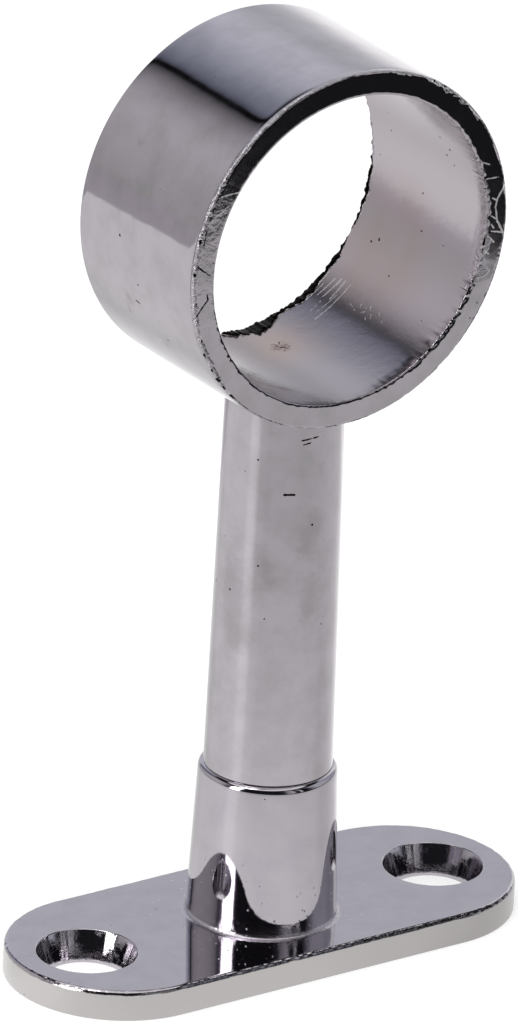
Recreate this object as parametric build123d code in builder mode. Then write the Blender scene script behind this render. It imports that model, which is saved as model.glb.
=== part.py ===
from build123d import *
from math import atan, degrees
import os

# Tube support bracket, die-cast zinc with bright chrome plating. A ring that holds a round tube
# stands on a tapered post, and the post stands on the boss of a flat oval base. Two castings and
# one screw from below make it up. Millimetres, +Z up along the post, the base's long side along X
# and the tube along Y. The origin is the middle of the base's underside.

# Ring: a plain collar round the tube, filed flat on both faces
tube_bore_d = 25.4
ring_wall = 2.0
ring_width = 15.6
bore_centre_z = 61.5
ring_edge_break = 0.15

# Post: round, tapered from the joint up to the ring, and cast in one with it
post_foot_d = 10.2
post_neck_d = 9.4
post_foot_break = 0.12
post_root_fillet = 0.5

# Base plate: a flat oval with a softened upper edge
plate_length = 45.0
plate_width = 18.0
plate_thickness = 2.5
plate_edge_round = 0.4

# Boss: round and tapered, cast in one with the plate
boss_foot_d = 11.9
boss_top_d = 10.95
boss_height = 12.7
boss_rim_round = 0.45
boss_root_cove = 0.3

# Fixing holes: one at each end, sunk almost through the plate with a short straight land below
fixing_spacing = 33.0
fixing_hole_d = 6.3
countersink_d = 8.0
fixing_land = 0.2

# Joint: a round register under the post centres it in a recess on top of the boss
register_d = 7.0
register_height = 1.5
register_side_gap = 0.1
register_end_gap = 0.3

# Assembly screw: cross recess, cheese head, sunk into the underside and tapped into the post
screw_d = 4.0
screw_length = 20.0
screw_side_gap = 0.25
screw_tip_chamfer = 0.6
head_d = 7.0
head_height = 2.6
head_edge_chamfer = 0.4
head_side_gap = 0.5
head_seat_z = 4.0
tapped_hole_spare = 1.5
cross_width = 0.9
cross_length = 4.2
cross_depth = 1.6

# Heights that follow from the sizes above
joint_z = plate_thickness + boss_height
ring_d = tube_bore_d + 2 * ring_wall
ring_underside_z = bore_centre_z - ring_d / 2
register_z = joint_z - register_height
tapped_top_z = head_seat_z + screw_length + tapped_hole_spare
head_face_z = head_seat_z - head_height

os.makedirs("parts", exist_ok=True)

# Base: plate, boss and holes, one casting. The boss tapers by its draft angle
boss_slope = (boss_foot_d - boss_top_d) / 2 / boss_height
boss_draft = degrees(atan(boss_slope))
countersink_angle = 2 * degrees(atan((countersink_d - fixing_hole_d) / 2 / (plate_thickness - fixing_land)))

with BuildPart() as base_flange:
    with BuildSketch(Plane.XY):
        SlotOverall(plate_length, plate_width)
    extrude(amount=plate_thickness)
    plate_top = base_flange.faces().sort_by(Axis.Z)[-1]
    fillet(plate_top.edges(), plate_edge_round)

    with BuildSketch(Plane.XY.offset(plate_thickness)):
        Circle(boss_foot_d / 2)
    extrude(amount=boss_height, taper=boss_draft)
    boss_wall = base_flange.faces().filter_by(GeomType.CONE).sort_by(Axis.Z)[-1]
    boss_rings = boss_wall.edges().filter_by(GeomType.CIRCLE).sort_by(Axis.Z)
    fillet(boss_rings[-1], boss_rim_round)
    with Locations((0, 0, plate_thickness)):
        Cone(
            bottom_radius=boss_foot_d / 2 + boss_root_cove,
            top_radius=boss_foot_d / 2 - boss_slope * boss_root_cove,
            height=boss_root_cove,
            align=(Align.CENTER, Align.CENTER, Align.MIN),
        )

    # The recess for the post's register, then the screw's way through and its head's seat
    with BuildSketch(Plane.XY.offset(register_z - register_end_gap)):
        Circle(register_d / 2 + register_side_gap)
    extrude(amount=register_height + register_end_gap, mode=Mode.SUBTRACT)
    with BuildSketch(Plane.XY):
        Circle(screw_d / 2 + screw_side_gap)
    extrude(amount=joint_z, mode=Mode.SUBTRACT)
    with BuildSketch(Plane.XY):
        Circle(head_d / 2 + head_side_gap)
    extrude(amount=head_seat_z, mode=Mode.SUBTRACT)

    with Locations(Plane.XY.offset(plate_thickness)):
        with GridLocations(fixing_spacing, 0, 2, 1):
            CounterSinkHole(
                radius=fixing_hole_d / 2,
                counter_sink_radius=countersink_d / 2,
                depth=plate_thickness,
                counter_sink_angle=countersink_angle,
            )
base_flange.part.label = "base_flange"
export_step(base_flange.part, "parts/base_flange.step")

# Ring and post, one casting. The post's taper runs on into the ring, and the bore cuts it off
post_taper = (post_foot_d - post_neck_d) / (ring_underside_z - joint_z)
post_end_d = post_neck_d - post_taper * (bore_centre_z - ring_underside_z)

with BuildPart() as ring_post:
    with BuildSketch(Plane.XZ):
        with BuildLine():
            Polyline(
                (0, register_z),
                (register_d / 2, register_z),
                (register_d / 2, joint_z),
                (post_foot_d / 2 - post_foot_break, joint_z),
                (post_foot_d / 2, joint_z + post_foot_break),
                (post_end_d / 2, bore_centre_z),
                (0, bore_centre_z),
                close=True,
            )
        make_face()
    revolve(axis=Axis.Z)

    with BuildSketch(Plane.XZ):
        with Locations((0, bore_centre_z)):
            Circle(ring_d / 2)
    extrude(amount=ring_width / 2, both=True)
    post_wall = ring_post.faces().filter_by(GeomType.CONE).sort_by(SortBy.AREA)[-1]
    fillet(post_wall.edges().group_by(Axis.Z)[-1], post_root_fillet)

    with BuildSketch(Plane.XZ):
        with Locations((0, bore_centre_z)):
            Circle(tube_bore_d / 2)
    extrude(amount=ring_width / 2, both=True, mode=Mode.SUBTRACT)
    ring_faces = ring_post.faces().filter_by(Axis.Y)
    chamfer(ring_faces.edges(), ring_edge_break)

    with BuildSketch(Plane.XY.offset(register_z)):
        Circle(screw_d / 2)
    extrude(amount=tapped_top_z - register_z, mode=Mode.SUBTRACT)
ring_post.part.label = "ring_post"
export_step(ring_post.part, "parts/ring_post.step")

# Assembly screw: cheese head with a broken edge and a cross recess, its thread left plain
with BuildPart() as assembly_screw:
    with BuildSketch(Plane.XY.offset(head_face_z)):
        Circle(head_d / 2)
    extrude(amount=head_height)
    chamfer(assembly_screw.faces().sort_by(Axis.Z)[0].edges(), head_edge_chamfer)
    with BuildSketch(Plane.XY.offset(head_seat_z)):
        Circle(screw_d / 2)
    extrude(amount=screw_length)
    chamfer(assembly_screw.faces().sort_by(Axis.Z)[-1].edges(), screw_tip_chamfer)
    with BuildSketch(Plane.XY.offset(head_face_z)):
        Rectangle(cross_length, cross_width)
        Rectangle(cross_width, cross_length)
    extrude(amount=cross_depth, mode=Mode.SUBTRACT)
assembly_screw.part.label = "assembly_screw"
export_step(assembly_screw.part, "parts/assembly_screw.step")
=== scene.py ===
import math

import bmesh
import bpy
import numpy as np
from mathutils import Matrix, Vector


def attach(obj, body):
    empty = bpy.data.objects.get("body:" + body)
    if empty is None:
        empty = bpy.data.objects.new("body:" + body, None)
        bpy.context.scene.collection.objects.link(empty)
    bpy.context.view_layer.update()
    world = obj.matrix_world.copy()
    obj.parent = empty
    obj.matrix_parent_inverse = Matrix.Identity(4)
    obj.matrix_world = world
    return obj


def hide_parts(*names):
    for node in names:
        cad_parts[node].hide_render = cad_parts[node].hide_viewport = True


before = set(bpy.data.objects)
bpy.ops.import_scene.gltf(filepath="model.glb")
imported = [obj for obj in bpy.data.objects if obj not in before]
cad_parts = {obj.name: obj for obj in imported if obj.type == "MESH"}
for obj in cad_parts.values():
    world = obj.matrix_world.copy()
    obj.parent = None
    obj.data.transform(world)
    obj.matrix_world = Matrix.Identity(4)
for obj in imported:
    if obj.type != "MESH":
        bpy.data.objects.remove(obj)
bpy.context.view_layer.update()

# The viewpoint: a long lens from the front left, a little above the ring, rolled by a few
# degrees. The image is 518 x 1024 pixels and the aim is a point beside the post, half way up.
MM = 0.001  # in metres: the sizes below are in millimetres
IMAGE_HEIGHT_PX = 1024
FOCAL_PX = 16000.0
SENSOR_MM = 36.0
VIEW_AZIMUTH = math.radians(-35.38)
VIEW_ELEVATION = math.radians(23.72)
VIEW_ROLL = math.radians(2.69)
VIEW_DISTANCE = 1244.9 * MM
VIEW_AIM = Vector((-1.98, 0.0, 36.92)) * MM

back = Vector((
    math.sin(VIEW_AZIMUTH) * math.cos(VIEW_ELEVATION),
    -math.cos(VIEW_AZIMUTH) * math.cos(VIEW_ELEVATION),
    math.sin(VIEW_ELEVATION),
))
level_right = Vector((math.cos(VIEW_AZIMUTH), math.sin(VIEW_AZIMUTH), 0.0))
level_up = back.cross(level_right)
right = level_right * math.cos(VIEW_ROLL) + level_up * math.sin(VIEW_ROLL)
up = level_up * math.cos(VIEW_ROLL) - level_right * math.sin(VIEW_ROLL)
turn = Matrix((right, up, back)).transposed().to_4x4()
camera_data = bpy.data.cameras.new("view")
camera_data.sensor_width = SENSOR_MM
camera_data.lens = FOCAL_PX * SENSOR_MM / IMAGE_HEIGHT_PX
camera_data.clip_start = 0.01
camera_data.clip_end = 20.0
camera = bpy.data.objects.new("view", camera_data)
camera.matrix_world = Matrix.Translation(VIEW_AIM + back * VIEW_DISTANCE) @ turn
bpy.context.scene.collection.objects.link(camera)
bpy.context.scene.camera = camera
bpy.context.scene.view_settings.view_transform = "Standard"

# Studio: a sheet of pale paper under the bracket. Seen directly it is white, with the bracket's
# soft shadow. The plating mirrors it as a light grey sheet that a tall lamp on the left streaks
# with light, and that ends at a grey wall behind and at dark floor in front.
FLOOR_REACH = 3.0
PAPER_GREY = (0.7, 0.7, 0.7, 1.0)
PAPER_GLOW = 0.45
REFLECTED_STRENGTH = 1.22
# The mirrored sheet's far and near edges: millimetres from the middle, in the direction so many
# degrees from +Y towards -X. Its colours pass from the base's to the edge's over the blend.
SHEET_FAR = (80.0, -35.38)
SHEET_NEAR = (150.7, 225.7)
SHEET_SOFT_MM = 2.5
SHEET_BLEND_MM = (28.0, 100.0)
# Mirrored colours by compass bearing, in degrees from +X towards +Y
BY_BASE = [
    (-180, "#ffffff"), (-174, "#ffffff"), (-166, "#f2f2f2"), (-150, "#e9e9e9"), (-90, "#e7e7e7"),
    (-46, "#dcdcdc"), (-32, "#cecece"), (-15, "#d3d3d3"), (5, "#e2e2e2"), (22, "#fbfbfb"),
    (35, "#ffffff"), (60, "#f2f2f2"), (75, "#dddddd"), (100, "#d2d2d2"), (118, "#e4e4e4"),
    (150, "#ebebeb"), (168, "#f4f4f4"), (176, "#ffffff"), (180, "#ffffff"),
]
BY_EDGE = [
    (-180, "#f6f6f6"), (-174, "#f0f0f0"), (-166, "#cfcfcf"), (-150, "#c7c7c7"), (-80, "#c5c5c5"),
    (-45, "#c8c8c8"), (-15, "#d2d2d2"), (5, "#d8d8d8"), (22, "#ececec"), (35, "#ffffff"),
    (55, "#ffffff"), (68, "#e8e8e8"), (80, "#e0e0e0"), (98, "#d4d4d4"), (108, "#e0e0e0"),
    (118, "#e6e6e6"), (140, "#e6e6e6"), (168, "#e8e8e8"), (176, "#f6f6f6"), (180, "#f6f6f6"),
]
WALL_FOOT = [
    (-180, "#b4b0b6"), (-90, "#b4b0b6"), (20, "#ffffff"), (58, "#ffffff"), (72, "#d8d6da"),
    (95, "#b8b4ba"), (180, "#b1adb3"),
]
DARK_FLOOR = "#1b1b1d"


def linear(hex_colour):
    """An sRGB hex colour as linear red, green, blue and alpha 1."""
    parts = [int(hex_colour[i:i + 2], 16) / 255 for i in (1, 3, 5)]
    return [c / 12.92 if c <= 0.04045 else ((c + 0.055) / 1.055) ** 2.4 for c in parts] + [1.0]


def node(tree, kind, settings=(), links=()):
    """Adds one node: settings go to attributes or to inputs by name, links join sockets to inputs."""
    made = tree.nodes.new(kind)
    for key, value in dict(settings).items():
        if isinstance(key, str) and hasattr(made, key):
            setattr(made, key, value)
        else:
            made.inputs[key].default_value = value
    for key, socket in dict(links).items():
        tree.links.new(socket, made.inputs[key])
    return made


def by_angle(tree, rise, run, stops):
    """Colours by the angle whose tangent is rise over run: each listed colour at its degrees,
    from -180 to 180, and straight blends between them."""
    angle = node(tree, "ShaderNodeMath", {"operation": "ARCTAN2"}, {0: rise, 1: run}).outputs[0]
    share = node(tree, "ShaderNodeMapRange", {"From Min": -math.pi, "From Max": math.pi}, {"Value": angle})
    bands = node(tree, "ShaderNodeValToRGB", {}, {"Fac": share.outputs[0]})
    while len(bands.color_ramp.elements) < len(stops):
        bands.color_ramp.elements.new(1.0)
    for element, (degrees, colour) in zip(bands.color_ramp.elements, stops):
        element.position = (degrees + 180) / 360
        element.color = linear(colour)
    return bands.outputs["Color"]


floor_mesh = bpy.data.meshes.new("studio_floor")
floor_mesh.from_pydata(
    [(x * FLOOR_REACH, y * FLOOR_REACH, 0) for x, y in ((-1, -1), (1, -1), (1, 1), (-1, 1))],
    [], [(0, 1, 2, 3)])
floor = bpy.data.objects.new("studio_floor", floor_mesh)
bpy.context.scene.collection.objects.link(floor)

paper = bpy.data.materials.new("studio_paper")
paper.use_nodes = True
tree = paper.node_tree
tree.nodes.clear()
place = node(tree, "ShaderNodeTexCoord").outputs["Object"]
axes = node(tree, "ShaderNodeSeparateXYZ", {}, {0: place}).outputs
by_base, by_edge, wall_foot = [
    by_angle(tree, axes["Y"], axes["X"], stops) for stops in (BY_BASE, BY_EDGE, WALL_FOOT)]
away = node(tree, "ShaderNodeVectorMath", {"operation": "LENGTH"}, {0: place}).outputs["Value"]
outward = node(tree, "ShaderNodeMapRange", {
    "From Min": SHEET_BLEND_MM[0] * MM, "From Max": SHEET_BLEND_MM[1] * MM}, {"Value": away}).outputs[0]
sheet = node(tree, "ShaderNodeMix", {"data_type": "RGBA"}, {0: outward, 6: by_base, 7: by_edge}).outputs[2]
past = []
for distance, degrees in (SHEET_FAR, SHEET_NEAR):
    ahead = (-math.sin(math.radians(degrees)), math.cos(math.radians(degrees)), 0.0)
    along = node(tree, "ShaderNodeVectorMath", {"operation": "DOT_PRODUCT", 1: ahead}, {0: place})
    past.append(node(tree, "ShaderNodeMapRange", {
        "interpolation_type": "SMOOTHSTEP", "From Min": (distance - SHEET_SOFT_MM) * MM,
        "From Max": (distance + SHEET_SOFT_MM) * MM}, {"Value": along.outputs["Value"]}).outputs[0])
sheet = node(tree, "ShaderNodeMix", {"data_type": "RGBA"}, {0: past[0], 6: sheet, 7: wall_foot}).outputs[2]
sheet = node(tree, "ShaderNodeMix", {
    "data_type": "RGBA", 7: linear(DARK_FLOOR)}, {0: past[1], 6: sheet}).outputs[2]
seen = node(tree, "ShaderNodeLightPath")
matt = node(tree, "ShaderNodeBsdfDiffuse", {"Color": PAPER_GREY})
white = node(tree, "ShaderNodeEmission", {"Color": (1.0, 1.0, 1.0, 1.0), "Strength": PAPER_GLOW})
bright = node(tree, "ShaderNodeAddShader", {}, {0: matt.outputs[0], 1: white.outputs[0]})
mirrored = node(tree, "ShaderNodeEmission", {"Strength": REFLECTED_STRENGTH}, {"Color": sheet})
surface = node(tree, "ShaderNodeMixShader", {}, {
    0: seen.outputs["Is Glossy Ray"], 1: bright.outputs[0], 2: mirrored.outputs[0]})
node(tree, "ShaderNodeOutputMaterial", {}, {"Surface": surface.outputs[0]})
floor_mesh.materials.append(paper)

# Light: an even white surround, and one wide lamp overhead whose soft shadow lies on the paper.
# The plating mirrors the room: a pale wall behind with a dark gap over its top, a dark side with
# two narrow lights where the photographer stands, a tall lamp on the left, a panel overhead.
SURROUND = 0.55
# The wall behind by degrees in the upright plane along X: right is 0, straight up is 90
BACK_WALL = [
    (-180, "#b4b4b4"), (-167, "#b0b0b0"), (-20, "#ffffff"), (-5, "#ffffff"), (3, "#f3f3f4"),
    (9, "#e0e1e4"), (15, "#cfd1d5"), (27, "#c6c8cd"), (34, "#c4c6cc"), (39, "#cdd0d6"),
    (48, "#d8dbe2"), (57, "#d9dce3"), (66, "#d0d3dc"), (75, "#c1c5cf"), (84, "#acb1bd"),
    (93, "#9398a5"), (99, "#7d8290"), (102.5, "#5c606c"), (104, "#0e0e10"), (107, "#0e0e10"),
    (108.5, "#565558"), (113, "#838185"), (120, "#a9a7ab"), (129, "#bfbdc0"), (138, "#c8c6c9"),
    (150, "#c3c2c4"), (165, "#bbbabc"), (180, "#b4b4b4"),
]
# The rest of the room by compass bearing, in degrees from +X towards +Y
ROUND_ROOM = [
    (-180, "#ffffff"), (-169, "#ffffff"), (-167, "#5c5a64"), (-163, "#1f1f22"), (-104, "#1c1c1f"),
    (-95, "#3a3a3e"), (-91, "#8e8e92"), (-80, "#bcbcc0"), (-76, "#3a3a3e"), (-70, "#2e2e32"),
    (-68, "#c8c8ca"), (-66, "#c8c8ca"), (-64, "#19191c"), (-54, "#1e1e22"), (-50, "#55565e"),
    (-44, "#8b8d95"), (-36, "#bfc1c8"), (-15, "#bec0c8"), (0, "#abadb6"), (18, "#b0b1ba"),
    (24, "#ffffff"), (42, "#f6f6f8"), (150, "#bcbabd"), (160, "#a09ea4"), (166, "#5a5862"),
    (171, "#74727e"), (174, "#ffffff"), (180, "#ffffff"),
]
# Where one passes into the next, as the looking direction's share of +Y or of +Z
WALL_TO_ROOM = (0.6, 0.5)
HIGH_FROM, HIGH_GREY = (0.68, 0.74), "#1d1d20"
PANEL_FROM, PANEL_WHITE = (0.83, 0.87), "#ffffff"
# The tall lamp: an upright band on the left, turned a little from -X, with soft edges in degrees
LAMP_TURN = math.radians(2.5)
LAMP_EDGES = (math.radians(9.5), math.radians(7.5))
LAMP_BEYOND_X = -0.3
LAMP_STRENGTH = 6.5

world = bpy.data.worlds.new("studio")
bpy.context.scene.world = world
world.use_nodes = True
tree = world.node_tree
tree.nodes.clear()
heading = node(tree, "ShaderNodeTexCoord").outputs["Generated"]
axes = node(tree, "ShaderNodeSeparateXYZ", {}, {0: heading}).outputs
room = by_angle(tree, axes["Z"], axes["X"], BACK_WALL)
round_room = by_angle(tree, axes["Y"], axes["X"], ROUND_ROOM)
from_back = node(tree, "ShaderNodeMapRange", {
    "interpolation_type": "SMOOTHSTEP", "From Min": WALL_TO_ROOM[0], "From Max": WALL_TO_ROOM[1]}, {
    "Value": axes["Y"]}).outputs[0]
room = node(tree, "ShaderNodeMix", {"data_type": "RGBA"}, {0: from_back, 6: room, 7: round_room}).outputs[2]
for (low, high), colour in ((HIGH_FROM, HIGH_GREY), (PANEL_FROM, PANEL_WHITE)):
    above = node(tree, "ShaderNodeMapRange", {
        "interpolation_type": "SMOOTHSTEP", "From Min": low, "From Max": high}, {"Value": axes["Z"]})
    room = node(tree, "ShaderNodeMix", {
        "data_type": "RGBA", 7: linear(colour)}, {0: above.outputs[0], 6: room}).outputs[2]
lamp_side = (-math.sin(LAMP_TURN), math.cos(LAMP_TURN), 0.0)
aside = node(tree, "ShaderNodeVectorMath", {"operation": "DOT_PRODUCT", 1: lamp_side}, {0: heading})
aside = node(tree, "ShaderNodeMath", {"operation": "ABSOLUTE"}, {0: aside.outputs["Value"]}).outputs[0]
in_band = node(tree, "ShaderNodeMapRange", {
    "interpolation_type": "SMOOTHSTEP", "From Min": math.sin(LAMP_EDGES[0]),
    "From Max": math.sin(LAMP_EDGES[1])}, {"Value": aside}).outputs[0]
on_left = node(tree, "ShaderNodeMath", {
    "operation": "LESS_THAN", 1: LAMP_BEYOND_X}, {0: axes["X"]}).outputs[0]
lamp_glow = node(tree, "ShaderNodeMath", {"operation": "MULTIPLY"}, {0: in_band, 1: on_left}).outputs[0]
strength = node(tree, "ShaderNodeMapRange", {
    "To Min": REFLECTED_STRENGTH, "To Max": LAMP_STRENGTH}, {"Value": lamp_glow}).outputs[0]
seen = node(tree, "ShaderNodeLightPath")
plain = node(tree, "ShaderNodeBackground", {"Color": (1.0, 1.0, 1.0, 1.0), "Strength": SURROUND})
clean = node(tree, "ShaderNodeBackground", {"Color": (1.0, 1.0, 1.0, 1.0), "Strength": 1.0})
studio_light = node(tree, "ShaderNodeBackground", {}, {"Color": room, "Strength": strength})
direct = node(tree, "ShaderNodeMixShader", {}, {
    0: seen.outputs["Is Camera Ray"], 1: plain.outputs[0], 2: clean.outputs[0]})
through = node(tree, "ShaderNodeMixShader", {}, {
    0: seen.outputs["Is Transmission Ray"], 1: direct.outputs[0], 2: clean.outputs[0]})
final = node(tree, "ShaderNodeMixShader", {}, {
    0: seen.outputs["Is Glossy Ray"], 1: through.outputs[0], 2: studio_light.outputs[0]})
node(tree, "ShaderNodeOutputWorld", {}, {"Surface": final.outputs[0]})

lamp_data = bpy.data.lights.new("overhead", "AREA")
lamp_data.shape = "DISK"
lamp_data.size = 0.5
lamp_data.energy = 3.2
lamp = bpy.data.objects.new("overhead", lamp_data)
lamp.location = (-0.15, -0.1, 0.75)
lamp.rotation_euler = (-lamp.location).to_track_quat("-Z", "Y").to_euler()
lamp.visible_glossy = False
bpy.context.scene.collection.objects.link(lamp)

# Ring and post, one zinc casting with bright chrome plating. The ring is a plain collar whose
# faces are filed flat and whose edges the polishing wheel rounds; the tapered post runs into it
# with a small cast fillet, and its foot carries the register and the tapped hole.
BORE_RADIUS = 12.7
RING_RADIUS = 14.7
RING_HALF = 7.8
RING_Z = 61.5
EDGE_ROUND = 0.15
JOINT_Z = 15.2
POST_FOOT_RADIUS = 5.1
POST_NECK_RADIUS = 4.7
POST_TAPER = (POST_FOOT_RADIUS - POST_NECK_RADIUS) / (RING_Z - RING_RADIUS - JOINT_Z)
POST_FILLET = 0.5
FOOT_BREAK = 0.12
# The wheel's slight fall towards each edge: how far in it starts and how deep it gets
FRONT_FALL = (0.9, 0.05)
BACK_FALL = (0.5, 0.012)
# The register's radius and height, the tapped hole's radius and the height of its end
REGISTER = (3.5, 1.5)
TAPPED_HOLE = (2.0, 25.5)
# How fine the mesh is, how near two points are sewn into one, and the least sharp edge
RING_COLUMNS = 720
SADDLE_COLUMNS = 62
BAND_ROWS = 12
SEWN_WITHIN = 0.001
SHARP_DEGREES = 35.0
# Wear, by degrees round the ring from straight down towards +X. First the chips of the front
# outer edge, each with its half width in degrees and its depth. Within WORN_REACH of an edge a
# point moves by WORN_SHARE of the depth both along the tube and towards the wall's middle.
CHIPS = [
    (149, 1.4, 0.18), (143, 1.2, 0.16), (137, 1.3, 0.18), (-112, 1.0, 0.14), (-122, 1.2, 0.16),
    (-104.5, 0.9, 0.12), (-96.5, 1.4, 0.16), (-84, 1.2, 0.14), (-78.5, 1.0, 0.2),
    (-71.5, 1.0, 0.16), (-62, 1.1, 0.1),
]
WORN_REACH = 0.33
WORN_SHARE = 0.8
# How coarsely the faces are filed, how wide the burr at the front outer edge is and how much of
# that edge is speckled with black
FILING = [
    (-180, 0.08), (-140, 0.08), (-124, 0.12), (-120, 0.5), (-115, 0.65), (-109, 0.4), (-103, 0.25),
    (-92, 0.32), (-82, 0.45), (-68, 0.35), (-45, 0.2), (-20, 0.12), (0, 0.1), (30, 0.1), (55, 0.06),
    (90, 0.03), (180, 0.06),
]
BURRED = [
    (-180, 0.3), (-130, 0.5), (-120, 1.3), (-60, 1.4), (-40, 0.5), (30, 0.3), (60, 0.5), (150, 0.9),
    (180, 0.3),
]
SPECKLED = [
    (-180, 0.2), (-140, 0.5), (-120, 0.8), (-95, 0.7), (-75, 0.95), (-50, 0.9), (-25, 0.6),
    (0, 0.35), (30, 0.3), (60, 0.5), (80, 0.6), (110, 0.5), (140, 0.85), (152, 0.8), (165, 0.3),
    (180, 0.2),
]
# The bore's front edge: how wide its bright burr sparkles, in mm, and how ragged it is
SPARKLING = [
    (-180, 0), (62, 0), (67, 0.4), (72, 0.9), (77, 0.55), (84, 0.3), (95, 0.26), (112, 0.32),
    (120, 0.05), (180, 0),
]
NOTCHED = [
    (-180, 0.1), (-80, 0.12), (-71, 0.3), (-45, 0.3), (-19, 0.3), (-8, 0.15), (3, 0.15), (25, 0.5),
    (40, 1.0), (72, 1.0), (80, 0.7), (113, 0.8), (118, 0.3), (180, 0.1),
]
# The bore itself: how deep its untrimmed flash reaches in from the back edge, in mm, how much
# duller it is along its lowest part, and two warm patches (degrees, place along, half sizes).
# What lies within BORE_SKIN of its radius belongs to it.
BORE_SKIN = 0.08
FLASH = [
    (-5, 0), (-3, 0.3), (0, 0.8), (4, 1.2), (7, 1.7), (11, 1.9), (13, 1.6), (16, 0.9), (19, 0.45),
    (24, 0.4), (26, 0.75), (30, 0.85), (35, 0.75), (38, 0.5), (42, 0.45), (45, 0.25), (48, 0.45),
    (50, 0.5), (53, 0.3), (58, 0.1), (62, 0.1), (66, 0.35), (70, 0.2), (75, 0.4), (80, 0.25),
    (85, 0.35), (90, 0.1), (120, 0.05), (125, 0),
]
DULL_BELOW = [(-60, 0), (-25, 0.8), (0, 1), (18, 0.7), (30, 0)]
WARM_BELOW = (6.0, 3.6, 17.0, 4.2)
WARM_BESIDE = (60.0, 3.0, 24.0, 4.5)


def ramp(value, start, end):
    """Rises evenly from 0 where the value is at start to 1 at end, and stays level past both."""
    return np.clip((value - start) / (end - start), 0.0, 1.0)


def listed(degrees, stops):
    """The amount that a list gives at an angle: straight between one stop and the next."""
    return np.interp(degrees, *zip(*stops))


def bend(start, corner, end, count):
    """Quadratic curve from start to end that leaves and arrives along the lines to the corner."""
    t = np.linspace(0.0, 1.0, count)[:, None]
    start, corner, end = (np.asarray(p, float) for p in (start, corner, end))
    return (1 - t) ** 2 * start + 2 * t * (1 - t) * corner + t ** 2 * end


def straight(start, end, count):
    """Points evenly spaced on the straight line from start to end, both included."""
    t = np.linspace(0.0, 1.0, count)[:, None]
    return (1 - t) * np.asarray(start, float) + t * np.asarray(end, float)


def chained(*runs):
    """Runs of points one after the other, each without the point that it shares with the last."""
    return np.concatenate([runs[0]] + [run[1:] for run in runs[1:]])


def kinked(points, counts):
    """Straight runs from each point to the next, with as many points as the counts say."""
    return chained(*[straight(a, b, count) for a, b, count in zip(points, points[1:], counts)])


def casting(name, grids):
    """One closed mesh from grids of points in millimetres (rows x columns x 3). Each grid gives
    quads between its neighbours, and the grids are sewn where their borders meet."""
    corners, quads, start = [], [], 0
    for grid in grids:
        rows, columns = grid.shape[:2]
        index = start + np.arange(rows * columns).reshape(rows, columns)
        quads.append(np.stack([
            index[:-1, :-1], index[:-1, 1:], index[1:, 1:], index[1:, :-1]], -1).reshape(-1, 4))
        corners.append(grid.reshape(-1, 3) * MM)
        start += rows * columns
    mesh = bpy.data.meshes.new(name)
    mesh.from_pydata(np.concatenate(corners).tolist(), [], np.concatenate(quads).tolist())
    sewn = bmesh.new()
    sewn.from_mesh(mesh)
    bmesh.ops.remove_doubles(sewn, verts=sewn.verts, dist=SEWN_WITHIN * MM)
    bmesh.ops.dissolve_degenerate(sewn, edges=sewn.edges, dist=0.1 * SEWN_WITHIN * MM)
    bmesh.ops.recalc_face_normals(sewn, faces=sewn.faces)
    sewn.to_mesh(mesh)
    sewn.free()
    mesh.shade_smooth()
    mesh.set_sharp_from_angle(angle=math.radians(SHARP_DEGREES))
    piece = bpy.data.objects.new(name, mesh)
    bpy.context.scene.collection.objects.link(piece)
    return piece


def turned(profile, angles, centre=(0.0, 0.0)):
    """A profile of (radius, z) points turned about an upright axis through the given centre."""
    radius, height = profile[:, 0, None], profile[:, 1, None]
    return np.stack([
        centre[0] + radius * np.cos(angles), centre[1] + radius * np.sin(angles),
        height + 0.0 * angles], -1)


def on_ring(angle, along, radius):
    """A point of the ring: its angle from straight down, its place along the tube, its radius."""
    return np.stack(np.broadcast_arrays(
        radius * np.sin(angle), along, RING_Z - radius * np.cos(angle)), -1)


def uneven(angle, cells, seed):
    """Value noise round a full turn: random heights from -1 to 1 at even steps, joined smoothly."""
    heights = np.random.default_rng(seed).uniform(-1.0, 1.0, cells)
    at = (angle / (2 * math.pi) + 0.5) * cells
    low = np.floor(at).astype(int)
    part = at - low
    part = part * part * (3 - 2 * part)
    return heights[low % cells] * (1 - part) + heights[(low + 1) % cells] * part


def edge_section(side, fall, face_rows):
    """Half of the ring's section: the wheel's slight fall as a parabola, the rounded outer edge,
    the filed face and the bore's rounded edge."""
    reach, drop = fall
    t = np.linspace(0.0, 1.0, 8)[:, None]
    rim, wall, brink = RING_RADIUS - drop, RING_HALF - EDGE_ROUND, BORE_RADIUS + EDGE_ROUND
    return (1.0, side) * chained(
        np.hstack([RING_RADIUS - drop * t ** 2, wall - reach * (1 - t)]),
        bend((rim, wall), (rim, RING_HALF), (rim - EDGE_ROUND, RING_HALF), 5),
        straight((rim - EDGE_ROUND, RING_HALF), (brink, RING_HALF), face_rows),
        bend((brink, RING_HALF), (BORE_RADIUS, RING_HALF), (BORE_RADIUS, wall), 5))


# The ring's closed section, swept round and then worn: each corner loses a ragged sliver that
# fades within WORN_REACH, and the flash stands up to 0.3 mm proud of the bore
back_edge = edge_section(1.0, BACK_FALL, 6)
front_edge = edge_section(-1.0, FRONT_FALL, 17)
section = chained(
    back_edge, straight(back_edge[-1], (BORE_RADIUS, 5.0), 26),
    straight((BORE_RADIUS, 5.0), front_edge[-1], 12), front_edge[::-1])
full_turn = np.linspace(-math.pi, math.pi, RING_COLUMNS + 1)
degrees_round = np.degrees(full_turn)
radius = section[:, 0, None] + 0.0 * full_turn
along = section[:, 1, None] + 0.0 * full_turn
nibble = 0.01 + 0.025 * ramp(uneven(full_turn, 460, 3), 0.0, 1.0)
nibble = nibble + 0.08 * ramp(uneven(full_turn, 150, 5), 0.55, 1.55)
for where, half_width, depth in CHIPS:
    nibble = nibble + depth * np.clip(1 - ((degrees_round - where) / half_width) ** 2, 0.0, 1.0)
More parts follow.
